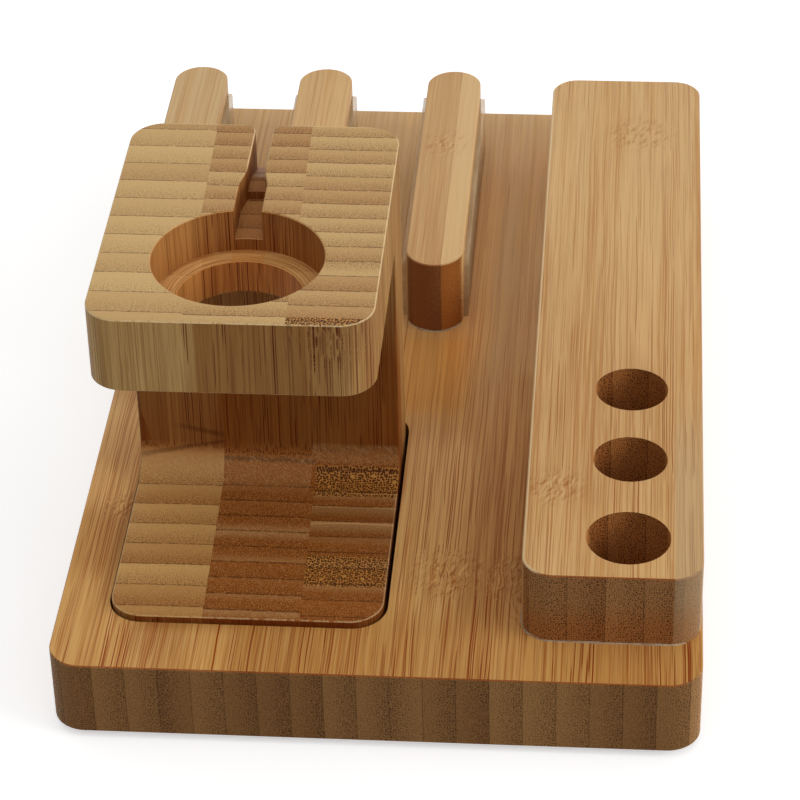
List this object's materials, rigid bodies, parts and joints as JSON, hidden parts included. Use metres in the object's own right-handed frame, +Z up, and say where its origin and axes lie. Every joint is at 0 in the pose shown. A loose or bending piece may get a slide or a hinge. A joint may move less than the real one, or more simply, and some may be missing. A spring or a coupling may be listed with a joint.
{
  "type": "charging station organizer",
  "caption": "Bamboo desk dock: a lift-out watch charging stand, padded pegs that hold phones and tablets on edge, and a long block drilled for pens.",
  "frame": {"origin": "centre of the base board's outline, on the surface that the rubber feet stand on", "axes": "+Y from the watch stand at the front to the pegs at the back, +X towards the pen block, +Z up"},
  "size_m": [0.115, 0.194, 0.081],
  "materials": {
    "base_bamboo": "satin oiled bamboo",
    "stand_bamboo": "satin oiled bamboo, end grain on top",
    "block_bamboo": "satin oiled bamboo",
    "peg_bamboo": "satin oiled bamboo",
    "silicone": "milky translucent, matte",
    "screw_steel": "zinc plated",
    "foot_rubber": "matte black"
  },
  "bodies": {
    "base": {"base_board": "base_bamboo", "pen_block": "block_bamboo", "peg_left": "peg_bamboo", "peg_middle": "peg_bamboo", "peg_right": "peg_bamboo", "strip_left_peg_right": "silicone", "strip_middle_peg_left": "silicone", "strip_middle_peg_right": "silicone", "strip_right_peg_left": "silicone", "strip_right_peg_right": "silicone", "peg_screws": "screw_steel", "block_screws": "screw_steel", "rubber_foot_front_left": "foot_rubber", "rubber_foot_front_right": "foot_rubber", "rubber_foot_back_left": "foot_rubber", "rubber_foot_back_right": "foot_rubber"},
    "stand": {"watch_stand": "stand_bamboo"}
  },
  "joints": [
    {"name": "stand_lift", "type": "slide", "parent": "base", "child": "stand", "axis": [0, 0, 1], "range_m": [0, 0.03]}
  ]
}
